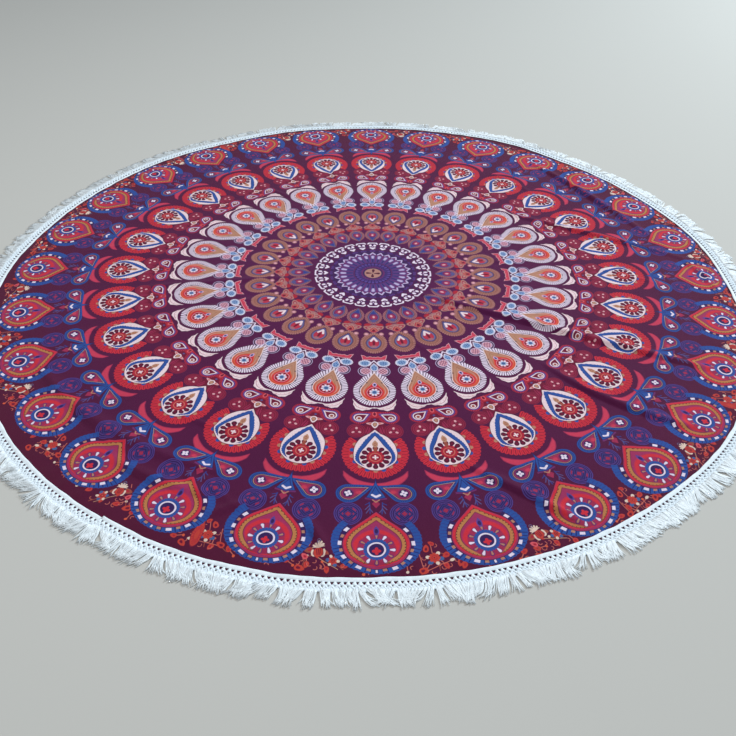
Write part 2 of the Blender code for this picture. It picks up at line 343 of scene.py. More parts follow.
    def stroke(self, u_a, v_a, u_b, v_b, width):
        """Round-ended line between two points given as (aside, along)."""
        length = math.hypot(u_b - u_a, v_b - v_a)
        cos, sin = (u_b - u_a) / length, (v_b - v_a) / length
        du = self.sub(self.u, u_a)
        dv = self.sub(self.v, v_a)
        along = self.line(dv, sin, self.mul(du, cos))
        across = self.line(dv, cos, self.mul(du, -sin))
        middle = self.sub(self.abs(self.sub(along, 0.5 * length)), 0.5 * length)
        return self.sub(self.length(self.high(middle, 0.0), across), width)


def paint_medallion(ink):
    """Cross in a tan disc, ribbed violet round, and rows of pale dots."""
    rho = ink.radius
    middle = Spot(None, None, rho, ink.angle)
    ink.fill(rho, (0.096, GRAPE))
    ink.ribs(middle,
        (28, 0.057, 0.095, 0.0072, 0.0, 0.75, DUSK), (28, 0.058, 0.076, 0.0017, 0.0, 0.8, INDIGO),
        (28, 0.0775, 0.0915, 0.0044, 0.0, 0.7, HEATHER, 0.0036))
    ink.fill(rho, (0.0555, INDIGO))
    ink.bands(rho, (0.0525, 0.0545, GRAPE))
    ink.ribs(middle,
        (28, 0.035, 0.0505, 0.0038, 0.0, 0.6, VIOLET), (28, 0.035, 0.042, 0.0014, 0.0, 0.6, INDIGO))
    ink.bands(rho, (0.0285, 0.033, GRAPE, 0.003))
    ink.fill(rho, (0.0262, INDIGO), (0.0236, CLAY, 0.003))
    ink.ribs(middle, (4, 0.004, 0.02, 0.0042, 4.0, 0.3, DARK), (4, 0.01, 0.0165, 0.0014, 4.0, 0.6, WINE))
    ink.fill(rho, (0.002, CLAY))
    ink.draw(ink.stroke, (0.0, 0.107, 0.0074, 0.0975, 0.0022, HEATHER))
    ink.draw(ink.disc, (0.098, 0.0, 0.0034, GRAPE))
    ink.paint(ink.ring(ink.spot(0.117, 0.0042).rho, 0.002, 0.0038), VIOLET)
    ink.draw(ink.disc, (0.115, 0.0112, 0.0026, INDIGO))
    ink.draw(ink.stroke, (0.0, 0.1288, 0.0058, 0.135, 0.003, PALE))
    ink.draw(ink.disc,
        (0.1325, 0.0, 0.0034, PALE), (0.1265, 0.0115, 0.0024, INDIGO), (0.14, 0.0125, 0.0026, INDIGO))
    ink.draw(ink.oval, (0.148, 0.0064, 0.004, 0.0058, PALE))
    ink.draw(ink.disc, (0.1425, 0.0, 0.0022, HEATHER), (0.153, 0.0, 0.0024, INDIGO))
    ink.draw(ink.stroke,
        (0.0, 0.162, 0.0105, 0.1615, 0.0021, PALE), (0.0105, 0.1615, 0.0136, 0.156, 0.0024, PALE))


def paint_drops(ink):
    """Small looped drop, leaves, and the drop with tan rays and a white chevron."""
    small = ink.spot(0.2095, stretch=1.3)
    petals = small._replace(rho=ink.drop(small, 36.0))
    size = ink.drop(small, 57.0)
    ink.ribs(petals,
        (24, 0.015, 0.0228, 0.0026, 7.5, 0.8, MAUVE), (24, 0.018, 0.0205, 0.0007, 7.5, 1.0, WINE))
    ink.fill(size, (0.0158, DARK), (0.0146, STEEL), (0.0126, GRAPE))
    ink.paint(ink.high(ink.sub(size, 0.0126), ink.sub(ink.v, 0.1955)), ROYAL, 0.003)
    ink.draw(ink.disc, (0.2095, 0.0, 0.0092, ROSEWOOD, 0.002))
    ink.draw(ink.oval,
        (0.2245, 0.0, 0.006, 0.007, SLATE, 0.002), (0.208, 0.0, 0.0032, 0.005, PINK, 0.002),
        (0.243, 0.0145, 0.0095, 0.0078, BRICK, 0.003))
    bat = ink.spot(0.257, stretch=0.95)
    ink.fill(ink.leaf(bat, 0.25, 60.0, 1.2, 180.0), (0.0165, MAUVE))
    wing = ink.spot(0.256, 0.0125)
    size = ink.leaf(wing, 0.7, 70.0, 1.4, 66.0)
    ink.fill(size, (0.0088, CLAY, 0.002), (0.0062, ROSEWOOD, 0.002), (0.0034, CLAY))
    ink.draw(ink.oval, (0.264, 0.0, 0.0098, 0.01, CARMINE, 0.003))
    ink.draw(ink.stroke,
        (0.0, 0.247, 0.0125, 0.264, 0.0014, CLAY), (0.0, 0.256, 0.0075, 0.268, 0.0009, TAN))
    ink.draw(ink.oval, (0.266, 0.0, 0.0036, 0.0046, WINE, 0.002))
    big = ink.spot(0.318, stretch=1.22)
    size = ink.drop(big, 46.0)
    petals = big._replace(rho=ink.drop(big, 22.0))
    ink.ribs(petals,
        (36, 0.0205, 0.0336, 0.0022, 5.0, 0.6, TAN), (36, 0.03, 0.0326, 0.0013, 5.0, 1.0, MAUVE),
        (36, 0.0235, 0.0275, 0.0005, 5.0, 1.0, WINE))
    ink.fill(size, (0.0206, DARK))
    ink.beads(big._replace(rho=size), (34, 0.0196, 0.001, MAUVE))
    ink.fill(size, (0.018, SLATE), (0.0162, STEEL))
    ink.paint(ink.high(ink.sub(size, 0.0135), ink.sub(0.298, ink.v)), ROSEWOOD)
    ink.paint(ink.high(ink.sub(size, 0.0162), ink.sub(ink.v, 0.2945)), ROYAL, 0.003)
    ink.draw(ink.oval,
        (0.3205, 0.007, 0.005, 0.0092, CARMINE, 0.002), (0.332, 0.0, 0.0074, 0.005, MAUVE, 0.003),
        (0.3185, 0.0, 0.0032, 0.0088, WINE))
    ink.draw(ink.stroke, (0.0, 0.2965, 0.007, 0.3095, 0.0029, BLUSH))
    ink.draw(ink.disc, (0.2812, 0.0188, 0.0068, MAUVE), (0.2812, 0.0188, 0.0042, PINK, 0.003))


def paint_cream(ink):
    """Coral crown, pale blue ovals and the cream drop with its halo and feathered wings."""
    horn = ink.ramp(ink.u, 0.0195, 0.0115)
    wave = ink.sin(ink.mul(ink.u, 2.0 * math.pi / 0.0135))
    top = ink.line(wave, 0.0011, ink.line(horn, -0.0085, 0.3722))
    crown = ink.high(ink.sub(top, ink.v), ink.sub(ink.v, 0.384))
    crown = ink.high(crown, ink.sub(ink.line(ink.v, 0.22, ink.u), 0.1124))
    ink.paint(crown, PINK)
    ink.paint(ink.add(crown, 0.0016), CRIMSON)
    seam = ink.add(crown, 0.004)
    ink.paint(ink.high(seam, ink.ring(ink.sub(ink.v, ink.mul(wave, 0.0011)), 0.3762, 0.3776)), CORAL)
    halo = ink.spot(0.499)
    size = ink.drop(halo, 58.5)
    ink.bands(size, (0.0345, 0.0385, DARK))
    ink.ribs(halo._replace(rho=size), (50, 0.0368, 0.0496, 0.002, 0.0, 0.8, PALE))
    body = ink.spot(0.5)
    size = ink.drop(body, 61.0)
    warm = ink.ramp(ink.v, 0.474, 0.044)
    ink.fill(size, (0.034, BLUSH))
    ink.paint(ink.sub(size, 0.0318), ink.blend(warm, BISCUIT, ORANGE))
    ink.paint(ink.ring(size, 0.0284, 0.0292), ink.blend(warm, RUST, BRICK))
    ink.paint(ink.ring(size, 0.0246, 0.0262), ink.blend(warm, TAN, PINK))
    ink.paint(ink.ring(size, 0.0216, 0.0224), ink.blend(warm, RUST, BRICK))
    heart = ink.spot(0.504)
    size = ink.drop(heart, 51.0)
    ink.fill(size, (0.0238, ORANGE), (0.0216, RED))
    specks = ink.dots(body, 12, 0.035, 0.002)
    ink.paint(ink.high(specks, ink.sub(0.467, ink.v)), DARK)
    flower = ink.spot(0.503)
    ink.fill(flower.rho, (0.0166, BRICK))
    ink.bands(flower.rho, (0.0166, 0.0178, PINK))
    ink.beads(flower, (8, 0.0144, 0.0019, DARK))
    ink.ribs(flower, (8, 0.006, 0.0124, 0.003, 22.5, 0.5, PALE))
    ink.fill(flower.rho, (0.0072, SKY), (0.005, DENIM))
    bud = ink.spot(0.477, stretch=1.45)
    ink.fill(ink.drop(bud, 35.0), (0.0048, HEATHER))
    ink.fill(bud.rho, (0.0026, NAVY))
    arc = ink.spot(0.5)
    share = ink.ramp(arc.theta, 2.042, 1.1)
    swell = ink.calc("POWER", ink.sin(ink.mul(share, math.pi)), 1.7)
    feather = ink.pingpong(arc.theta, 0.105)
    outside = ink.line(swell, 0.016, ink.line(feather, -0.02, 0.0574))
    inside = ink.line(ink.high(ink.sub(share, 0.8), 0.0), -0.013, 0.0563)
    wing = ink.high(ink.sub(arc.rho, outside), ink.sub(inside, arc.rho))
    wing = ink.high(wing, ink.mul(ink.sub(2.05, arc.theta), 0.05))
    ink.paint(wing, BLUSH)
    inner_line = ink.abs(ink.sub(arc.rho, ink.line(swell, 0.008, 0.0578)))
    ink.paint(ink.high(ink.add(wing, 0.0022), ink.sub(inner_line, 0.0006)), MAUVE)
    ink.paint(ink.high(ink.add(wing, 0.0022), ink.dots(arc, 40, 0.0612, 0.0008)), CORAL)
    egg = ink.spot(0.3978, 0.0222, 0.78)
    ink.fill(egg.rho, (0.015, SKY))
    ink.ribs(egg, (17, 0.0128, 0.0166, 0.0021, PALE))
    ink.fill(egg.rho, (0.0098, POWDER, 0.003))
    ink.beads(egg, (6, 0.0066, 0.002, DENIM))
    ink.fill(egg.rho, (0.0022, DENIM))
    ink.draw(ink.stroke, (0.0, 0.388, 0.0128, 0.4045, 0.0015, PALE))
    centre = ink.spot(0.415, stretch=1.2)
    size = ink.drop(centre, 50.0)
    ink.fill(size, (0.0108, DARK), (0.0098, PALE), (0.008, POWDER))
    ink.beads(centre, (5, 0.0042, 0.0014, BLUE))
    swirl = ink.spot(0.4275, 0.0208)
    ink.paint(ink.high(ink.ring(swirl.rho, 0.013, 0.0182), ink.sub(0.017, ink.u)), DARK)
    ink.paint(ink.high(ink.ring(swirl.rho, 0.0165, 0.018), ink.sub(0.018, ink.u)), HEATHER)
    ink.fill(swirl.rho, (0.013, PINK))
    for side in (1.0, -1.0):
        slant = ink.line(swirl.dv, side, ink.add(swirl.du, 0.4))
        stripe = ink.sub(ink.pingpong(slant, 0.004), 0.0009)
        ink.paint(ink.high(ink.sub(swirl.rho, 0.0106), stripe), GRAPE)
    ink.bands(swirl.rho, (0.011, 0.0128, HEATHER))


def paint_red_paisleys(ink):
    """Small paisleys on red, the lotus between them, and the ringed discs."""
    ink.draw(ink.oval,
        (0.624, 0.0, 0.028, 0.024, WINE, 0.003), (0.585, 0.0, 0.019, 0.027, BRICK, 0.002),
        (0.598, 0.0, 0.027, 0.01, WINE, 0.003))
    body = ink.spot(0.588, 0.0345, 0.95)
    rim = ink.leaf(body, 0.32, 90.0, 1.3, -66.0)
    disc = ink.sub(rim, 0.0212)
    ink.paint(disc, CARMINE)
    ink.paint(ink.high(disc, ink.rays(body._replace(rho=rim), 30, 0.016, 0.023, 0.0009, 0.0, 1.0)), WINE)
    size = ink.drop(body, 58.0, -62.0)
    ink.fill(size, (0.016, VIOLET), (0.0126, BLUSH), (0.01, WINE))
    ink.draw(ink.disc,
        (0.5895, 0.0352, 0.0078, WINE), (0.59, 0.0356, 0.0062, BLUSH), (0.59, 0.0356, 0.0036, RUST))
    seed = ink.spot(0.576, stretch=1.5)
    ink.fill(ink.drop(seed, 50.0), (0.0054, CORAL), (0.003, WINE))
    ink.draw(ink.disc, (0.5935, 0.0, 0.0028, SLATE))
    petal = ink.spot(0.6065, 0.0085, 0.55)
    ink.fill(ink.leaf(petal, 0.8, 60.0, 1.2, 80.0), (0.0066, PINK), (0.0036, SALMON))
    lotus = ink.spot(0.6085)
    size = ink.leaf(lotus, 0.5, 50.0, 1.2, 180.0)
    ink.fill(size, (0.0082, BLUSH), (0.0054, WINE), (0.0042, BISCUIT))
    ring = ink.spot(0.6295, 0.0408)
    ink.fill(ring.rho, (0.0212, GARNET))
    ink.bands(ring.rho, (0.0176, 0.0196, WINE), (0.0132, 0.015, WINE), (0.0034, 0.0062, WINE))
    ink.ribs(ring, (3, 0.0072, 0.0122, 0.0025, 0.0, 1.3, PINK))
    ink.draw(ink.stroke,
        (0.011, 0.62, 0.017, 0.64, 0.0011, ROSEWOOD), (0.0155, 0.617, 0.02, 0.635, 0.001, ROSEWOOD),
        (0.01, 0.626, 0.015, 0.643, 0.0009, ROSEWOOD))


def paint_red_eyes(ink):
    """White pointed drop with a blue band and a petalled rosette, in a looped red halo."""
    halo = ink.spot(0.6955)
    opened = ink.mul(ink.sub(math.radians(49.0), halo.theta), 0.06)
    ink.limit = ink.high, opened
    ink.bands(halo.rho, (0.044, 0.0706, WINE))
    ink.ribs(halo, (44, 0.054, 0.0716, 0.0045, 4.1, 0.8, RED), (44, 0.057, 0.07, 0.0008, 4.1, 1.0, WINE))
    ink.bands(halo.rho, (0.044, 0.0535, BRICK))
    ink.beads(halo, (9, 0.05, 0.0052, BLUE), (9, 0.05, 0.005, 20.0, TAN))
    ink.limit = None
    egg = ink.spot(0.6975)
    outer = ink.leaf(egg, 0.36, 80.0, 1.3)
    heart = ink.spot(0.7075)
    low_part = ink.mul(ink.high(ink.sub(heart.theta, 1.75), 0.0), 0.0123)
    band = ink.add(ink.leaf(heart, 0.8, 80.0, 3.0), low_part)
    pale = ink.low(ink.sub(outer, 0.0462), ink.sub(band, 0.0452))
    ink.fill(pale, (0.0014, MAROON))
    ink.paint(pale, BLUSH)
    wave = ink.line(ink.sin(ink.mul(heart.theta, 44.0)), 0.0005, band)
    ink.fill(wave, (0.0424, BLUE))
    inner = ink.leaf(heart, 0.84, 75.0, 3.7)
    ink.paint(ink.high(ink.ring(inner, 0.0336, 0.035), ink.sub(ink.v, 0.732)), NAVY)
    ink.paint(ink.high(ink.sub(inner, 0.0338), ink.sub(ink.v, 0.7385)), BLUSH)
    ink.fill(heart.rho, (0.0196, RED))
    ink.ribs(heart,
        (12, 0.0185, 0.0328, 0.0062, 0.0, 0.45, MAROON), (12, 0.022, 0.0285, 0.0024, 0.0, 0.45, WINE))
    ink.fill(heart.rho, (0.0172, BRICK))
    ink.bands(heart.rho, (0.0108, 0.0128, SALMON), (0.0072, 0.0084, WINE))
    ink.ribs(heart, (4, 0.001, 0.0066, 0.0021, 0.0, 0.8, BLUSH))
    ink.draw(ink.stroke, (0.0, 0.68, 0.0, 0.689, 0.0038, RUST))
    bud = ink.spot(0.6695, stretch=1.45)
    ink.fill(ink.drop(bud, 40.0), (0.0062, BISCUIT))
    ink.bands(ink.drop(bud, 40.0), (0.0018, 0.003, RUST))


def paint_crescents(ink):
    """Pair of crimson crescents under the red halo."""
    inner = ink.spot(0.695)
    outer = ink.spot(0.7425, 0.022)
    shape = ink.high(ink.sub(outer.rho, 0.0475), ink.sub(0.0842, inner.rho))
    shape = ink.high(shape, ink.high(ink.sub(ink.u, 0.0665), ink.sub(0.7475, ink.v)))
    ink.fill(shape, (0.0008, ROSEWOOD))
    ink.paint(ink.add(shape, 0.0012), CRIMSON, 0.002)


def paint_blue_paisleys(ink):
    """Blue peak with a white chevron between two dotted blue paisleys."""
    body = ink.spot(0.8062, 0.0545, 0.88)
    rim = ink.drop(body, 62.0, -66.0)
    ink.fill(rim, (0.0272, NAVY), (0.0264, BLUE))
    ink.beads(body._replace(rho=rim), (40, 0.0226, 0.0011, NAVY))
    ink.fill(rim, (0.0196, NAVY))
    size = ink.drop(body, 66.0, -66.0)
    ink.fill(size, (0.018, BISCUIT), (0.0165, INDIGO), (0.015, ROSEWOOD))
    ink.draw(ink.oval, (0.803, 0.035, 0.006, 0.0044, CRIMSON, 0.003))
    ink.paint(ink.ring(ink.spot(0.8055, 0.056).rho, 0.0104, 0.0118), GRAPE)
    flower = ink.spot(0.8055, 0.056)
    ink.fill(flower.rho, (0.0098, INDIGO))
    ink.ribs(flower, (4, 0.003, 0.008, 0.0032, 20.0, 0.8, PALE))
    ink.fill(flower.rho, (0.0013, SLATE))
    ink.draw(ink.stroke, (0.0, 0.8215, 0.02, 0.819, 0.0024, GRAPE))
    ink.paint(ink.diamond(0.833, 0.0, 0.0085, 0.011), ROSEWOOD)
    ink.draw(ink.stroke,
        (0.0, 0.8285, 0.0068, 0.8225, 0.0013, TAN), (0.0132, 0.829, 0.0116, 0.857, 0.0011, ROYAL),
        (0.013, 0.837, 0.0215, 0.847, 0.001, SLATE), (0.0125, 0.844, 0.019, 0.856, 0.001, SLATE),
        (0.0122, 0.846, 0.0068, 0.854, 0.0009, SLATE), (0.0134, 0.831, 0.021, 0.835, 0.001, ROYAL))
    share = ink.ramp(ink.v, 0.7715, 0.0465)
    side = ink.mul(ink.calc("POWER", share, 1.35), 0.02)
    peak = ink.high(ink.sub(ink.u, side), ink.sub(ink.line(ink.u, 0.25, ink.v), 0.8205))
    ink.fill(peak, (0.0012, NAVY))
    ink.paint(peak, BLUE)
    ink.bands(peak, (-0.0056, -0.0042, NAVY))
    ink.draw(ink.stroke, (0.0, 0.815, 0.0078, 0.81, 0.0024, PALE))


def paint_fret_discs(ink):
    """Pair of violet ringed discs with a fret inside."""
    ring = ink.spot(0.857, 0.0552)
    ink.fill(ring.rho, (0.0284, INDIGO))
    ink.bands(ring.rho, (0.0262, 0.0278, VIOLET), (0.0226, 0.024, VIOLET))
    ink.fill(ring.rho, (0.0196, VIOLET), (0.0182, INDIGO))
    inside = ink.sub(ring.rho, 0.0176)
    across = ink.abs(ring.du)
    ink.limit = ink.high, inside
    ink.fill(ink.abs(ink.sub(across, 0.0125)), (0.0032, ROSEWOOD))
    square = ink.add(across, ink.abs(ring.dv))
    ink.bands(square, (0.0128, 0.0206, INDIGO), (0.0186, 0.02, VIOLET), (0.0134, 0.015, ROYAL))
    ink.fill(square, (0.006, ROSEWOOD))
    ink.bands(square, (0.0078, 0.0092, VIOLET))
    ink.limit = None


def paint_outer_eyes(ink):
    """Large pointed eye with an ochre band, a petalled rosette and a toothed blue halo."""
    halo = ink.spot(0.9225, stretch=0.85)
    opened = ink.mul(ink.sub(math.radians(49.0), halo.theta), 0.06)
    scallop = ink.line(ink.sin(ink.mul(halo.theta, 54.0)), 0.0006, halo.rho)
    ink.limit = ink.high, opened
    ink.bands(scallop, (0.056, 0.0868, INDIGO), (0.0716, 0.0864, BLUE))
    lines = ink.rays(halo, 54, 0.072, 0.0858, 0.0009, 1.7, 1.0)
    ink.paint(lines, ROYAL)
    ink.limit = ink.high, ink.mul(ink.sub(1.75, halo.theta), 0.02)
    ink.paint(lines, NAVY)
    ink.limit = None
    body = ink.spot(0.93, stretch=0.86)
    dash = ink.pingpong(ink.sub(body.theta, math.radians(55.0)), math.radians(16.0))
    white = ink.high(ink.mul(ink.sub(dash, math.radians(4.6)), 0.068), ink.ring(body.rho, 0.0662, 0.0732))
    tan = ink.high(ink.mul(ink.sub(math.radians(12.6), dash), 0.068), ink.ring(body.rho, 0.065, 0.0712))
    ink.limit = ink.high, opened
    ink.paint(tan, TAN)
    ink.paint(white, PALE)
    ink.limit = None
    size = ink.leaf(body, 0.405, 60.0, 3.6)
    ink.fill(size, (0.0652, DARK), (0.064, FUCHSIA))
    rim = ink.line(ink.high(ink.sub(body.theta, 1.5), 0.0), 0.003, size)
    ink.fill(rim, (0.0622, RED))
    wave = ink.line(ink.sin(ink.mul(body.theta, 46.0)), 0.0006, size)
    ink.paint(ink.high(ink.sub(wave, 0.0566), ink.sub(ink.v, 0.976)), DARK)
    ink.paint(ink.high(ink.sub(wave, 0.0556), ink.sub(ink.v, 0.975)), OCHRE)
    ink.paint(ink.high(ink.dots(body._replace(rho=size), 44, 0.0546, 0.0011), ink.sub(ink.v, 0.974)), DARK)
    ink.paint(ink.high(ink.sub(size, 0.0478), ink.sub(ink.v, 0.979)), DARK)
    ink.paint(ink.high(ink.sub(size, 0.0468), ink.sub(ink.v, 0.98)), FUCHSIA)
    rose = ink.spot(0.9418)
    ink.paint(ink.high(ink.sub(size, 0.044), ink.sub(rose.rho, 0.046)), RED, 0.004)
    ink.fill(rose.rho, (0.0366, ROSEWOOD, 0.003))
    ink.ribs(rose,
        (12, 0.022, 0.0368, 0.0044, 0.0, 0.5, GRAPE), (6, 0.0255, 0.0355, 0.003, 30.0, 0.45, PALE),
        (6, 0.0262, 0.034, 0.0022, 0.0, 0.5, TAN), (24, 0.015, 0.0252, 0.0031, 0.0, 0.9, BLUE))
    oval = ink.spot(0.9418, stretch=0.95)
    ink.fill(oval.rho, (0.0188, INDIGO), (0.0178, PALE), (0.0144, INDIGO))
    core = ink.spot(0.945)
    ink.ribs(core, (4, 0.001, 0.0084, 0.0035, 0.0, 0.8, RED))
    bud = ink.spot(0.9, stretch=1.7)
    ink.fill(ink.drop(bud, 45.0), (0.0056, VIOLET))
    ink.fill(bud.rho, (0.0032, INDIGO))


def paint_leaves(ink, *leaves):
    """Pointed leaves with a darker heart."""
    for aside, out, edge, angle, color, heart in leaves:
        size = ink.leaf(ink.spot(out, aside), 0.9, 70.0, 1.4, angle)
        ink.fill(size, (edge, color), (edge * 0.45, heart))


def paint_vines(ink, stems, hooks):
    """Thin stems, and hooks that are open arcs."""
    for u_a, v_a, u_b, v_b, color in stems:
        ink.paint(ink.stroke(u_a, v_a, u_b, v_b, 0.0008), color)
    for u, v, size, side in hooks:
        curl = ink.spot(v, u)
        cut = ink.mul(ink.add(curl.dv, ink.mul(curl.du, side)), 0.7)
        ink.paint(ink.high(ink.ring(curl.rho, size - 0.0007, size + 0.0007), cut), SALMON)


def paint_tulip(ink):
    """Orange tulip in cream petals under a fringed cream crown, and a blossom at its side."""
    paint_vines(ink, (
        (-0.04, 0.028, 0.006, -0.005, BISCUIT), (0.008, -0.007, 0.025, -0.001, RUST),
        (0.025, -0.001, 0.034, 0.024, RUST), (-0.052, 0.029, -0.033, 0.012, RUST),
        (0.017, -0.04, 0.021, -0.03, SALMON),
    ), (
        (0.0075, 0.0085, 0.0042, 1.0), (0.018, 0.016, 0.005, -1.0), (0.006, 0.025, 0.0044, 1.0),
        (-0.009, 0.023, 0.0046, -1.0), (-0.05, 0.019, 0.0042, 1.0), (0.042, 0.012, 0.004, 1.0),
    ))
    paint_leaves(ink,
        (0.027, -0.002, 0.006, 40.0, CORAL, BRICK), (0.041, 0.024, 0.0076, -110.0, SCARLET, WINE),
        (-0.014, -0.012, 0.005, -120.0, RUST, BRICK), (0.017, -0.019, 0.007, 100.0, RUST, BRICK))
    side = ink.spot(0.007, -0.031)
    ink.ribs(side,
        (3, 0.008, 0.0152, 0.0044, 40.0, 1.0, DENIM), (3, 0.008, 0.015, 0.0032, 100.0, 0.9, CREAM),
        (6, 0.004, 0.0098, 0.0036, 10.0, 0.9, SCARLET))
    ink.bands(side.rho, (0.003, 0.0042, WINE))
    tulip = ink.spot(-0.014, stretch=1.15)
    paint_leaves(ink,
        (0.0085, -0.009, 0.0062, 20.0, CREAM, MAUVE), (-0.0085, -0.009, 0.0062, -20.0, CREAM, MAUVE))
    size = ink.leaf(tulip, 0.45, 70.0, 1.3, 180.0)
    ink.fill(size, (0.0104, WINE), (0.0094, SCARLET))
    for lean in (-0.0042, 0.0, 0.0042):
        ink.paint(ink.stroke(lean, -0.0215, 0.6 * lean, -0.008, 0.0007), WINE)
    crown = ink.spot(-0.0265)
    petals = ink.rays(crown, 11, 0.005, 0.0136, 0.0022, 0.0, 0.8)
    ink.paint(ink.high(petals, ink.sub(-0.001, crown.dv)), CREAM)
    ink.draw(ink.oval, (-0.0285, 0.0, 0.0104, 0.0038, CREAM))
    ink.paint(ink.ring(ink.spot(-0.041).rho, 0.003, 0.0042), STEEL)


def paint_blossom(ink):
    """Round orange blossom with cream tips and blue lobes, heart leaves and tendrils."""
    paint_vines(ink, (
        (0.008, -0.043, 0.001, -0.015, SALMON), (-0.026, -0.023, -0.033, 0.013, SALMON),
        (-0.04, 0.02, 0.033, 0.015, SALMON), (0.0, 0.018, -0.003, 0.029, RUST),
        (0.018, -0.008, 0.028, -0.001, RUST), (-0.05, 0.03, -0.036, 0.019, RUST),
    ), (
        (0.008, 0.0255, 0.0044, 1.0), (0.0215, 0.025, 0.0042, -1.0), (-0.015, 0.0265, 0.0046, 1.0),
        (0.015, -0.031, 0.0042, -1.0), (-0.021, -0.011, 0.0046, 1.0), (0.042, 0.02, 0.0042, 1.0),
    ))
    paint_leaves(ink,
        (-0.008, -0.029, 0.0066, 30.0, SCARLET, WINE), (0.011, -0.037, 0.005, -40.0, SCARLET, BRICK),
        (-0.037, 0.017, 0.007, 70.0, SCARLET, WINE), (0.029, -0.001, 0.0062, -100.0, SCARLET, BRICK),
        (0.048, 0.027, 0.0072, -130.0, SCARLET, WINE))
    ink.draw(ink.oval, (0.015, 0.033, 0.0058, 0.0034, CREAM))
    flower = ink.spot(-0.003)
    ink.draw(ink.oval, (0.004, 0.0125, 0.006, 0.005, DENIM), (0.004, -0.0125, 0.006, 0.005, DENIM))
    ink.ribs(flower,
        (3, 0.01, 0.0188, 0.0042, 60.0, 0.8, CREAM), (8, 0.004, 0.0124, 0.004, 22.5, 0.8, SCARLET))
    ink.bands(flower.rho, (0.0046, 0.0058, BRICK))


def paint_row(ink):
    """Row of small leaves, buds and hooks beside the trim, each turned another way."""
    cell, middle = ink.cells(6 * SECTORS)
    swing = ink.sin(ink.mul(cell, 2.4))
    other = ink.sin(ink.line(cell, 5.3, 1.0))
    aside = ink.line(other, 0.003, middle)
    out = ink.line(swing, 0.005, ink.sub(ink.radius, 0.983))
    keep = ink.u, ink.v
    ink.turn_to(aside, out, ink.mul(other, 2.6))
    paint_vines(ink, ((0.001, 0.001, 0.0125, 0.005, SALMON),), ((0.009, -0.006, 0.0036, 1.0),))
    paint_leaves(ink, (-0.0035, 0.0, 0.0052, -50.0, SCARLET, BRICK))
    bud = ink.oval(0.006, 0.013, 0.0026, 0.003)
    ink.paint(bud, ink.blend(ink.calc("GREATER_THAN", swing, 0.3), ORANGE, CREAM))
    ink.u, ink.v = keep


def paint_border(ink):
    """Tulips and blossoms by turns on the maroon between the outer eyes.

    They are drawn about the middle of each gap, turned a little from one gap to the next.
    """
    paint_row(ink)
    gap, middle = ink.cells(SECTORS)
    swing = ink.sin(ink.mul(gap, 2.4))
    flip = ink.line(ink.calc("GREATER_THAN", swing, 0.0), 2.0, -1.0)
    aside = ink.mul(ink.mul(middle, flip), 1.1)
    out = ink.line(ink.radius, 1.12, -0.968 * 1.12)
    keep = ink.u, ink.v
    ink.turn_to(aside, out, ink.mul(swing, 0.34))
    odd = ink.pingpong(gap, 1.0)
    ink.limit = ink.add, odd
    paint_tulip(ink)
    ink.limit = ink.add, ink.sub(1.0, odd)
    paint_blossom(ink)
    ink.limit = ink.add, ink.sub(1.0, ink.calc("COMPARE", ink.pingpong(gap, 3.0), 3.0))
    leaf = ink.spot(0.002, 0.023, 2.8)
    size = ink.leaf(leaf, 0.3, 60.0, 1.2)
    ink.fill(size, (0.0115, WINE), (0.0104, SCARLET))
    ink.ribs(leaf, (20, 0.005, 0.0094, 0.0005, 0.0, 1.0, BRICK))
    ink.limit = None
    ink.u, ink.v = keep


# Ground colours that fade into the next one from a radius on, over a width
Ground = namedtuple("Ground", "inner outer start width")
MIDDLE = Ground(INDIGO, PLUM, 0.1, 0.03)
BETWEEN = Ground(PLUM, AUBERGINE, 0.2, 0.5)
OUTSIDE = Ground(AUBERGINE, MAROON, 0.82, 0.2)

# Ring bands of the print: outer radius as a share, ground, and what paints it, in order
Band = namedtuple("Band", "name outer ground painters")
BANDS = (
    Band("medallion", 0.168, MIDDLE, (paint_medallion,)),
    Band("drops", 0.3625, BETWEEN, (paint_drops,)),
    Band("cream", 0.5695, BETWEEN, (paint_cream,)),
    Band("red", 0.769, BETWEEN, (paint_crescents, paint_red_paisleys, paint_red_eyes)),
    Band("blue", 0.842, OUTSIDE, (paint_crescents, paint_blue_paisleys, paint_fret_discs)),
    Band("outer", 1.1, OUTSIDE, (paint_border, paint_blue_paisleys, paint_fret_discs, paint_outer_eyes)),
)


def fabric(name):
    """Material with its Principled shader, matt as cotton."""
    made = bpy.data.materials.new(name)
    made.use_nodes = True
    shader = made.node_tree.nodes["Principled BSDF"]
    shader.inputs["Roughness"].default_value = 0.86
    shader.inputs["Specular IOR Level"].default_value = 0.12
    return made, shader


THREAD_STEP = 0.0009         # from one thread of the weave to the next


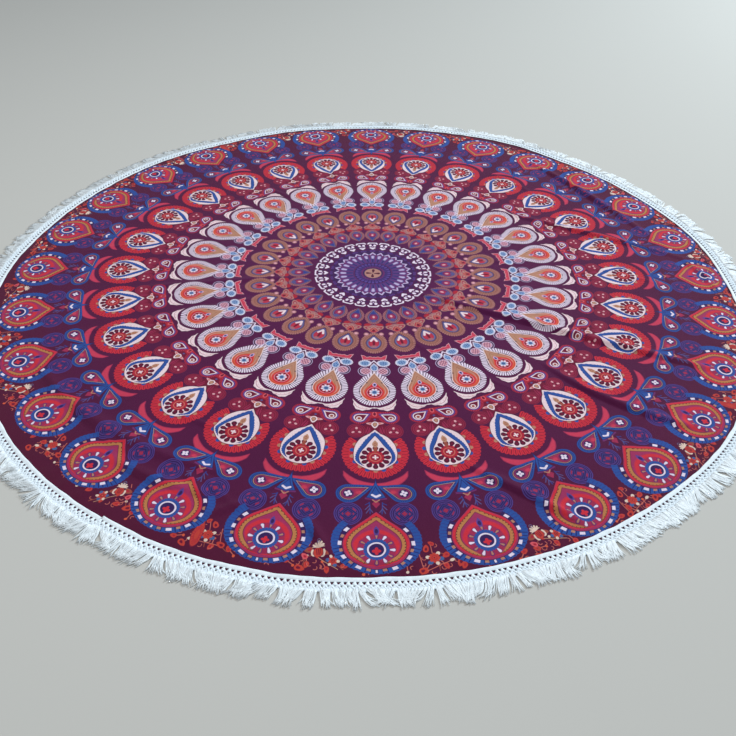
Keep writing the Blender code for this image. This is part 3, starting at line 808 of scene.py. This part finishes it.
def cotton_finish(ink, shader):
    """Weave, slub and fading over the print, and the sheen of brushed cotton."""
    cloudy = ink.noise(ink.plan, 6.0, 3.0).outputs["Fac"]
    slub = ink.noise(ink.plan, 190.0, 2.0).outputs["Fac"]
    split = ink.nodes.new("ShaderNodeSeparateXYZ")
    ink.put(split.inputs[0], ink.plan)
    thread = 2.0 * math.pi * PRINT_RADIUS / THREAD_STEP
    warp = ink.sin(ink.mul(split.outputs[0], thread))
    weft = ink.sin(ink.mul(split.outputs[1], thread))
    weave = ink.mul(warp, weft)
    shade = ink.line(cloudy, 0.2, 0.9)
    shade = ink.add(shade, ink.line(slub, 0.22, -0.11))
    shade = ink.add(shade, ink.mul(weave, 0.05))
    tone = ink.nodes.new("ShaderNodeVectorMath")
    tone.operation = "SCALE"
    ink.put(tone.inputs[0], ink.color)
    ink.put(tone.inputs["Scale"], shade)
    ink.links.new(tone.outputs[0], shader.inputs["Base Color"])
    crumple = ink.noise(ink.plan, 26.0, 4.0).outputs["Fac"]
    ink.bump(shader, ink.line(weave, 0.00012, ink.mul(crumple, 0.0011)), 0.6, 1.0)
    shader.inputs["Sheen Weight"].default_value = 0.06
    shader.inputs["Sheen Roughness"].default_value = 0.45


def print_material(band):
    made, shader = fabric("print_" + band.name)
    ink = Ink(made)
    ink.place()
    ground = band.ground
    ink.color = ink.blend(ink.ramp(ink.radius, ground.start, ground.width), ground.inner, ground.outer)
    for painter in band.painters:
        painter(ink)
    cotton_finish(ink, shader)
    return made


def ease(share):
    """Smooth step of a share held between 0 and 1."""
    held = np.clip(share, 0.0, 1.0)
    return held * held * (3.0 - 2.0 * held)


LAP_HEIGHT = 0.0026          # the frame's trim is above this only where it laps on the cloth
EDGE_STEPS = 140             # places at which its edge is read


def trim_edge_reader():
    """The trim's inner edge, as a radius for each angle past the join, from the frame."""
    points = np.array([v.co[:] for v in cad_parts["heading"].data.vertices])
    radius = np.hypot(points[:, 0], points[:, 1])
    angle = np.arctan2(points[:, 1], points[:, 0])
    turn = np.mod(np.degrees(angle - JOIN_ANGLE), 360.0)
    lap = points[:, 2] > LAP_HEIGHT
    steps = np.round(turn * EDGE_STEPS / 360.0).astype(int)
    edge = []
    for step in range(EDGE_STEPS + 1):
        near = lap & (steps == step)
        if near.any():
            lowest = np.argmin(np.where(near, radius, np.inf))
            edge.append((turn[lowest], radius[lowest]))
    turns, radii = np.array(sorted(edge)).T
    return lambda turn_wanted: np.interp(turn_wanted, turns, radii)


trim_edge = trim_edge_reader()


def edge_at(x, y):
    """Radius of the trim's inner edge on the line from the middle through a point."""
    turn = np.mod(np.degrees(np.arctan2(y, x) - JOIN_ANGLE), 360.0)
    return trim_edge(turn)


# Finer creases than the frame has, in the same form
CREASES = (
    Fold(-0.216, -0.816, -0.126, -0.806, 0.002, 0.02, 0.0035),  # puckers at the near edge
    Fold(-0.061, -0.83, 0.084, -0.837, 0.004, 0.022, 0.004),
    Fold(-0.104, -0.742, -0.058, -0.832, 0.004, 0.03, 0.0056),
    Fold(-0.33, -0.64, -0.262, -0.742, 0.004, 0.028, 0.004),
    Fold(0.3, -0.7, 0.372, -0.762, 0.004, 0.024, 0.0034),
    Fold(0.3, 0.33, 0.37, 0.3, 0.003, 0.02, 0.003),      # tuck on the right
    Fold(0.48, 0.06, 0.7, -0.03, 0.006, 0.024, 0.0024),
    Fold(0.24, 0.12, 0.42, -0.02, -0.006, 0.026, 0.0022),
    Fold(-0.42, -0.47, -0.21, -0.56, -0.014, 0.024, 0.0026),
    Fold(-0.56, -0.5, -0.36, -0.63, -0.02, 0.024, 0.0028),
    Fold(-0.3, -0.64, -0.2, -0.74, -0.008, 0.02, 0.0026),
    Fold(0.06, -0.24, 0.3, -0.42, -0.01, 0.026, 0.0022),
    Fold(0.44, -0.56, 0.6, -0.44, 0.012, 0.022, 0.0026),
    Fold(-0.16, 0.33, -0.42, 0.52, 0.01, 0.028, 0.002),
    Fold(0.33, 0.56, 0.46, 0.4, 0.008, 0.024, 0.0024),
    Fold(-0.72, 0.06, -0.5, 0.12, 0.008, 0.026, 0.002),
    Fold(0.02, 0.12, 0.16, 0.26, 0.008, 0.022, 0.0018),
)
FOLD_EDGE_MARGIN = 0.012     # the folds die out this far inside the trim
FOLD_EDGE_EASE = 0.03
STEEP_SIDE = 0.48            # width of a fold's right side as a share of its left side's
SHEET_LEVEL = 0.0009         # height of the sheet where it lies flat
HEM_AND_SHADE_UNDER_TRIM = 0.0124    # how far the cloth goes on under the tape and the net; this hem is a guess, and its dark cloth in the net's gaps is painted shade
UNDER_NET_START = 0.004      # from this far under the tape on the sheet sinks
UNDER_NET_DROP = 0.0005
GRID = 0.0058                # mesh size of the sheet
MIDDLE_POINTS = 52           # points of the innermost rings
DOUBLINGS = 4                # how often that number doubles on the way out, at most


def fold_rise(fold, x, y):
    """Height that one fold adds at points of the cloth."""
    chord = np.array([fold.end_x - fold.start_x, fold.end_y - fold.start_y])
    length = np.hypot(*chord)
    along = chord / length
    dx, dy = x - fold.start_x, y - fold.start_y
    share = np.clip((dx * along[0] + dy * along[1]) / length, 0.0, 1.0)
    across = dy * along[0] - dx * along[1] - fold.bow * 4.0 * share * (1.0 - share)
    swell = np.sin(math.pi * share) ** 0.6
    half_width = 0.5 * fold.width * (0.35 + 0.65 * swell)
    steep = np.where(across < 0.0, STEEP_SIDE, 1.0)
    return fold.height * swell * ease(1.0 - np.abs(across) / (half_width * steep))


def waves(x, y):
    """Low swells left in cloth that was shaken out over the floor."""
    first = np.sin(9.0 * x + 4.0 * y + 1.5 * np.sin(6.0 * y))
    second = np.sin(-5.0 * x + 11.0 * y + 1.8 * np.sin(7.0 * x + 1.0))
    third = np.sin(21.0 * x + 13.0 * y + 2.0 * np.sin(15.0 * y - 9.0 * x))
    return 0.0003 * (1.0 + first) + 0.0003 * (1.0 + second) + 0.0002 * (1.0 + third)


def edge_puckers(x, y, inside):
    """Small gathers that the trim's seam draws into the cloth's edge."""
    angle = np.arctan2(y, x)
    ripple = np.sin(angle * 96.0 + 2.2 * np.sin(angle * 17.0) + 1.3 * np.sin(angle * 5.0))
    strength = 0.45 + 0.3 * np.sin(angle * 3.0 + 0.6) + 0.25 * np.sin(angle * 11.0)
    far_side = 0.5 + 0.5 * np.sin(angle)
    reach = ease(inside / 0.01) * ease((0.085 - inside) / 0.07)
    return (0.001 + 0.0016 * far_side) * np.clip(strength, 0.0, 1.0) * (1.0 + ripple) * reach


def cloth_height(x, y):
    """Height of the sheet above the floor at points of the plan."""
    inside = edge_at(x, y) - np.hypot(x, y)
    rise = sum(fold_rise(fold, x, y) for fold in FOLDS + CREASES)
    flat = ease((inside - FOLD_EDGE_MARGIN) / FOLD_EDGE_EASE)
    under_net = ease(-inside / UNDER_NET_START - 1.0)
    level = SHEET_LEVEL - UNDER_NET_DROP * under_net
    return level + (rise + waves(x, y)) * flat + edge_puckers(x, y, inside)


def ring_plan():
    """Rings of the sheet from the middle out, as (radius, points, band); segments double."""
    rings = []
    inner = 0.0
    for index, band in enumerate(BANDS):
        outer = PRINT_RADIUS * min(band.outer, 1.0)
        steps = max(1, round((outer - inner) / GRID))
        for step in range(1, steps + 1):
            radius = inner + (outer - inner) * step / steps
            doublings = math.ceil(math.log2(2.0 * math.pi * radius / GRID / (MIDDLE_POINTS + 0.5)))
            rings.append((radius, MIDDLE_POINTS * 2 ** min(max(0, doublings), DOUBLINGS), index))
        inner = outer
    return rings


def mesh_piece(name, vertices, faces, smooth=True):
    mesh = bpy.data.meshes.new(name)
    mesh.from_pydata(vertices, [], faces)
    mesh.validate()
    if smooth:
        mesh.shade_smooth()
    piece = bpy.data.objects.new(name, mesh)
    bpy.context.scene.collection.objects.link(piece)
    return piece


def cloth_sheet():
    """The printed cotton: one thin sheet over its folds, in ring bands with a material each."""
    rings = ring_plan()
    last_inner = PRINT_RADIUS * BANDS[-2].outer
    vertices = [np.zeros((1, 2))]
    faces, bands = [], []
    first, count = 0, 1
    for radius, points, band in rings:
        angle = np.arange(points) * 2.0 * math.pi / points
        x, y = np.cos(angle), np.sin(angle)
        reach = np.full(points, radius)
        if band == len(BANDS) - 1:
            share = (radius - last_inner) / (PRINT_RADIUS - last_inner)
            # Past the trim's edge the sheet runs on under the net, so that its dark cloth shows in the
            # net's gaps as painted shade.
            rim = edge_at(x, y) + HEM_AND_SHADE_UNDER_TRIM
            reach = last_inner + (rim - last_inner) * share
        start = first + count
        vertices.append(np.stack([x * reach, y * reach], axis=1))
        for k in range(points):
            a, b = start + k, start + (k + 1) % points
            if count == 1:
                faces.append((first, a, b))
            elif count == points:
                faces.append((first + k, a, b, first + (k + 1) % count))
            elif k % 2 == 0:
                faces.append((first + k // 2, a, b))
            else:
                c, d = first + k // 2, first + (k // 2 + 1) % count
                faces.append((c, a, d))
                faces.append((d, a, b))
                bands.append(band)
            bands.append(band)
        first, count = start, points
    plan = np.concatenate(vertices)
    height = cloth_height(plan[:, 0], plan[:, 1])
    piece = mesh_piece("printed_cloth", np.column_stack([plan, height]).tolist(), faces)
    mesh = piece.data
    for band in BANDS:
        mesh.materials.append(print_material(band))
    mesh.polygons.foreach_set("material_index", bands)
    layer = mesh.uv_layers.new(name="OFBake")
    corner = np.empty(len(mesh.loops), dtype=np.int32)
    mesh.loops.foreach_get("vertex_index", corner)
    layer.data.foreach_set("uv", (plan[corner] / UV_SPAN + 0.5).astype(np.float32).ravel())
    return piece


def trim_point(turn, outwards, height):
    """World point at a turn in degrees past the join and a distance out from the edge."""
    angle = JOIN_ANGLE + math.radians(turn)
    radius = float(trim_edge(turn)) + outwards
    return Vector((radius * math.cos(angle), radius * math.sin(angle), height))


CELLS = 560                  # openings in the net's first row
JOIN_GAP = 0.03              # degrees left open at each side of the join

# Section of the tape: distance out from its inner edge and height
TAPE_SECTION = (
    (0.0, 0.00155), (0.0, 0.0022), (0.0006, 0.0028), (0.0024, 0.0029), (0.0044, 0.00275),
    (0.006, 0.0025), (0.0071, 0.0021), (0.0077, 0.0016), (0.0074, 0.0009), (0.0064, 0.0012),
    (0.0054, 0.00155),
)


WAVER_REACH = 0.007          # how far out the waver of the inner edge is felt


def tape_waver(turn):
    """How far the tape's inner edge wanders, and how it lifts, where the cloth puckers."""
    angle = math.radians(turn)
    side = 0.00045 * math.sin(angle * 61.0 + 2.0 * math.sin(angle * 13.0))
    side += 0.00025 * math.sin(angle * 143.0)
    lift = 0.0003 * (1.0 + math.sin(angle * 83.0 + 1.6 * math.sin(angle * 19.0)))
    return side, lift


def heading_tape():
    """Woven tape that laps on the cloth's edge and carries the net."""
    vertices, faces = [], []
    turns = np.linspace(JOIN_GAP, 360.0 - JOIN_GAP, CELLS * 2 + 1)
    rows = len(TAPE_SECTION)
    for turn in turns:
        side, lift = tape_waver(turn)
        for outwards, height in TAPE_SECTION:
            inner_share = max(0.0, 1.0 - outwards / WAVER_REACH)
            vertices.append(trim_point(turn, outwards + side * inner_share, height + lift * inner_share))
    for k in range(len(turns) - 1):
        for row in range(rows):
            after = (row + 1) % rows
            a, b = k * rows + row, k * rows + after
            faces.append((a, b, b + rows, a + rows))
    faces.append(tuple(range(rows - 1, -1, -1)))
    faces.append(tuple(range((len(turns) - 1) * rows, len(turns) * rows)))
    return mesh_piece("heading_tape_band", vertices, faces)


def tube(vertices, faces, path, radii, sides, flat=1.0):
    """Adds a closed tube along a path of points, flattened in height by flat."""
    start = len(vertices)
    for k, point in enumerate(path):
        ahead = path[min(k + 1, len(path) - 1)] - path[max(k - 1, 0)]
        aside = Vector((-ahead.y, ahead.x, 0.0))
        aside = aside.normalized() if aside.length > 1e-9 else Vector((1.0, 0.0, 0.0))
        lift = ahead.cross(aside)
        lift = -lift.normalized() if lift.z < 0.0 else lift.normalized()
        for corner in range(sides):
            angle = 2.0 * math.pi * corner / sides + math.pi / sides
            offset = aside * math.cos(angle) + lift * (math.sin(angle) * flat)
            vertices.append(point + offset * radii[k])
    for k in range(len(path) - 1):
        for corner in range(sides):
            a = start + k * sides + corner
            b = start + k * sides + (corner + 1) % sides
            faces.append((a, b, b + sides, a + sides))
    faces.append(tuple(start + c for c in range(sides - 1, -1, -1)))
    end = start + (len(path) - 1) * sides
    faces.append(tuple(end + c for c in range(sides)))


# The net between tape and tassels, as distances out from the trim's inner edge
NET_START = 0.0076
FIRST_KNOTS = 0.015
SECOND_KNOTS = 0.0208
ROOT_KNOTS = 0.0107
BETWEEN_KNOTS = 0.0212
NET_HEIGHT = 0.0016
CELL_TURN = 360.0 / CELLS
KNOT_MARGIN = 0.12           # degrees that knots and roots keep from the join
ROOT_MARGIN = 0.1


def stray(rng, size):
    return rng.uniform(-size, size)


def net_points():
    """Places of the two staggered rows of knots, each a little out of line."""
    rng = random.Random(7)
    first, second = [], []
    for cell in range(CELLS):
        jog = stray(rng, 0.07) * CELL_TURN
        first.append(((cell + 0.5) * CELL_TURN + jog, FIRST_KNOTS + stray(rng, 0.0006)))
    for cell in range(CELLS + 1):
        jog = stray(rng, 0.09) * CELL_TURN
        turn = min(max(cell * CELL_TURN + jog, KNOT_MARGIN), 360.0 - KNOT_MARGIN)
        second.append((turn, SECOND_KNOTS + stray(rng, 0.0008)))
    return first, second


FIRST_ROW, SECOND_ROW = net_points()


def strand(vertices, faces, start, end, bulge, radius):
    """One short bundle of the net between two (turn, outwards) places."""
    path, radii = [], []
    for share in (0.0, 0.33, 0.67, 1.0):
        turn = start[0] + (end[0] - start[0]) * share
        outwards = start[1] + (end[1] - start[1]) * share
        height = NET_HEIGHT + bulge * math.sin(math.pi * share)
        path.append(trim_point(turn, outwards, height))
        radii.append(radius * (1.0 + 0.15 * math.sin(math.pi * share)))
    tube(vertices, faces, path, radii, 4, 0.7)


def knotted_net():
    """Lattice of short bundles: a row of gaps under the tape, which show the cloth under them dark as
    painted shade, then small diamonds.
    """
    vertices, faces = [], []
    for cell in range(CELLS + 1):
        root = (min(max(cell * CELL_TURN, ROOT_MARGIN), 360.0 - ROOT_MARGIN), NET_START)
        for side in (-1, 0):
            if 0 <= cell + side < CELLS:
                strand(vertices, faces, root, FIRST_ROW[cell + side], 0.0002, 0.0009)
                strand(vertices, faces, FIRST_ROW[cell + side], SECOND_ROW[cell], 0.0003, 0.002)
    return mesh_piece("net_strands", vertices, faces)


KNOT_PROFILE = ((-1.0, 0.5), (-0.55, 0.92), (0.0, 1.05), (0.55, 0.95), (1.0, 0.65))
ROOT_PROFILE = ((-1.0, 0.46), (-0.4, 0.52), (0.1, 0.74), (0.55, 1.0), (1.0, 0.8))


def net_knots():
    """The knots, as flat rounded lumps in four staggered rows that leave small gaps."""
    vertices, faces = [], []
    rng = random.Random(11)
    roots = [(turn, ROOT_KNOTS) for turn, _ in SECOND_ROW]
    between = [(turn, BETWEEN_KNOTS) for turn, _ in FIRST_ROW]
    for row, half_width, half_length, profile in (
        (roots, 0.0048, 0.0036, ROOT_PROFILE), (FIRST_ROW, 0.0044, 0.0024, KNOT_PROFILE),
        (SECOND_ROW, 0.0042, 0.004, KNOT_PROFILE), (between, 0.004, 0.0044, KNOT_PROFILE),
    ):
        for turn, outwards in row:
            size = rng.uniform(0.92, 1.08)
            path, radii = [], []
            for share, width in profile:
                path.append(trim_point(turn, outwards + share * size * half_length, NET_HEIGHT + 0.0002))
                radii.append(width * size * half_width)
            tube(vertices, faces, path, radii, 6, 0.3)
    return mesh_piece("net_knots", vertices, faces)


YARNS = 13                   # yarns in a tassel
YARN_RADIUS = 0.00095
YARN_LENGTH = 0.034
YARN_STEPS = 5


def tassel_lean(turn, rng):
    """Sideways lean of a tassel, shared with its neighbours so that they clump."""
    angle = math.radians(turn)
    drift = 0.4 * math.sin(angle * 31.0 + 2.0 * math.sin(angle * 9.0)) + 0.26 * math.sin(angle * 87.0)
    return drift + rng.gauss(0.0, 0.14)


def yarn_path(root, out, aside, place, heading, bend, reach, layer):
    """Line of one yarn from its knot over the floor to its loose end."""
    path, radii = [], []
    for step in range(YARN_STEPS + 1):
        share = step / YARN_STEPS
        angle = heading + bend * share * share
        distance = reach * share
        point = root + out * (distance * math.cos(angle)) + aside * (distance * math.sin(angle))
        point += aside * (place * (0.004 + 0.0014 * share))
        height = YARN_RADIUS + layer * (1.0 - 0.7 * share) + 0.0005 * math.sin(9.0 * share + place)
        point.z = max(height, YARN_RADIUS * 1.05)
        path.append(point)
        radii.append(YARN_RADIUS * (1.0 - 0.3 * share ** 3))
    return path, radii


def fringe_yarns(name, tassels, seed):
    """Tassels of loose yarns that lie on the floor, splayed and ragged at their ends."""
    vertices, faces = [], []
    rng = random.Random(seed)
    for turn, outwards in tassels:
        lean = tassel_lean(turn, rng)
        length = YARN_LENGTH * rng.uniform(0.88, 1.06)
        splay = rng.uniform(-0.02, 0.08)
        swirl = rng.gauss(0.0, 0.16) + 0.25 * lean
        root = trim_point(turn, outwards, 0.0)
        out = Vector((root.x, root.y, 0.0)).normalized()
        aside = Vector((-out.y, out.x, 0.0))
        for number in range(YARNS):
            place = (number / (YARNS - 1) - 0.5) * 2.0
            heading = lean + splay * place + rng.gauss(0.0, 0.035)
            bend = swirl + rng.gauss(0.0, 0.11)
            reach = length * rng.uniform(0.82, 1.08)
            layer = 0.0006 + 0.0024 * rng.random() * (1.0 - 0.5 * abs(place))
            path, radii = yarn_path(root, out, aside, place, heading, bend, reach, layer)
            tube(vertices, faces, path, radii, 3)
    return mesh_piece(name, vertices, faces)


TWIST_GRAIN = 1400.0         # of the yarns' fine twist, per metre


def yarn_material(name, color, grain):
    """White cotton yarn: uneven tone, fine twist in the bump."""
    made, shader = fabric(name)
    ink = Ink(made)
    place = ink.nodes.new("ShaderNodeTexCoord").outputs["Object"]
    ramp = ink.nodes.new("ShaderNodeValToRGB")
    dark, light = ramp.color_ramp.elements
    dark.position, light.position = 0.3, 0.7
    dark.color = (*[c * 0.86 for c in color], 1.0)
    light.color = (*color, 1.0)
    ink.links.new(ink.noise(place, grain, 3.0).outputs["Fac"], ramp.inputs["Fac"])
    ink.links.new(ramp.outputs["Color"], shader.inputs["Base Color"])
    ink.bump(shader, ink.noise(place, TWIST_GRAIN).outputs["Fac"], 0.5, 0.0004)
    shader.inputs["Sheen Weight"].default_value = 0.15
    return made


CAMERA_PLACE = (0.0, -1.5428, 1.0048)
CAMERA_PAN, CAMERA_TILT, CAMERA_ROLL = 0.0034, -0.1248, -0.0245   # radians, away from the middle
SENSOR_WIDTH = 36.0          # millimetres, as the lens
LENS = 37.08


def camera():
    """Camera at the photograph's angle: it stands past the near edge and looks down."""
    place = Vector(CAMERA_PLACE)
    ahead = -place.normalized()
    right = Vector((1.0, 0.0, 0.0))
    axes = [ahead, right, right.cross(ahead)]
    for angle, axis in ((CAMERA_PAN, 2), (CAMERA_TILT, 1), (CAMERA_ROLL, 0)):
        turn = Matrix.Rotation(angle, 3, axes[axis])
        axes = [turn @ line for line in axes]
    ahead, right, up = axes
    data = bpy.data.cameras.new("view")
    data.sensor_width = SENSOR_WIDTH
    data.lens = LENS
    made = bpy.data.objects.new("view", data)
    turned = Matrix((right, up, -ahead)).transposed()
    made.matrix_world = Matrix.Translation(place) @ turned.to_4x4()
    bpy.context.scene.collection.objects.link(made)
    bpy.context.scene.camera = made


def area_light(name, place, aim, size, power, color):
    data = bpy.data.lights.new(name, "AREA")
    data.shape = "DISK"
    data.size = size
    data.energy = power
    data.spread = math.radians(140.0)
    data.color = color
    made = bpy.data.objects.new(name, data)
    made.location = place
    made.rotation_euler = (Vector(aim) - Vector(place)).to_track_quat("-Z", "Y").to_euler()
    bpy.context.scene.collection.objects.link(made)


def lights():
    """Cool daylight from the far right, and a wide fill from above."""
    area_light("daylight", (4.9, 3.3, 3.3), (0.0, 0.0, 0.0), 1.9, 246.0, (0.84, 0.94, 1.0))
    area_light("overhead", (-0.8, -0.6, 3.2), (0.0, 0.0, 0.0), 2.6, 24.0, (1.0, 0.98, 0.95))
    world = bpy.data.worlds.new("studio")
    world.use_nodes = True
    world.node_tree.nodes["Background"].inputs["Color"].default_value = (0.94, 0.97, 1.0, 1.0)
    world.node_tree.nodes["Background"].inputs["Strength"].default_value = 0.42
    bpy.context.scene.world = world
    bpy.context.scene.view_settings.view_transform = "Standard"


FLOOR_REACH = 9.0


def floor():
    far = FLOOR_REACH
    corners = [(-far, -far, 0), (far, -far, 0), (far, far, 0), (-far, far, 0)]
    made = mesh_piece("floor", corners, [(0, 1, 2, 3)], False)
    material, shader = fabric("floor_paint")
    shader.inputs["Base Color"].default_value = (*srgb(190, 190, 186), 1.0)
    made.data.materials.append(material)


def flat_area():
    """Flat area of the cloth, from the outline that shows and what the tape hides."""
    turns = np.linspace(0.0, 360.0, 721)[:-1]
    radii = trim_edge(turns) + HEM_AND_SHADE_UNDER_TRIM
    return float(0.5 * np.sum(radii ** 2) * math.radians(0.5))


def dress():
    """Builds every piece and ties it to the frame."""
    camera()
    white = srgb(236, 247, 255)
    cloth = cloth_sheet()
    tape = heading_tape()
    tape.data.materials.append(yarn_material("tape_cotton", white, 160.0))
    cord_cotton = yarn_material("net_cotton", srgb(232, 245, 255), 220.0)
    strands, knots = knotted_net(), net_knots()
    strands.data.materials.append(cord_cotton)
    knots.data.materials.append(cord_cotton)
    half = len(SECOND_ROW) // 2
    right_yarns = fringe_yarns("fringe_tassels_right", SECOND_ROW[:half], 23)
    left_yarns = fringe_yarns("fringe_tassels_left", SECOND_ROW[half:], 29)
    tassel_cotton = yarn_material("tassel_cotton", srgb(242, 250, 255), 90.0)
    right_yarns.data.materials.append(tassel_cotton)
    left_yarns.data.materials.append(tassel_cotton)
    for piece, node, slot in (
        (cloth, "cloth", "printed_cotton"),
        (tape, "heading", "heading_tape"),
        (strands, "heading", "heading_tape"),
        (knots, "heading", "heading_tape"),
        (right_yarns, "fringe", "fringe_yarn"),
        (left_yarns, "fringe", "fringe_yarn"),
    ):
        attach(piece, "root")
        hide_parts(node)
    flat_area()
    floor()
    lights()


dress()
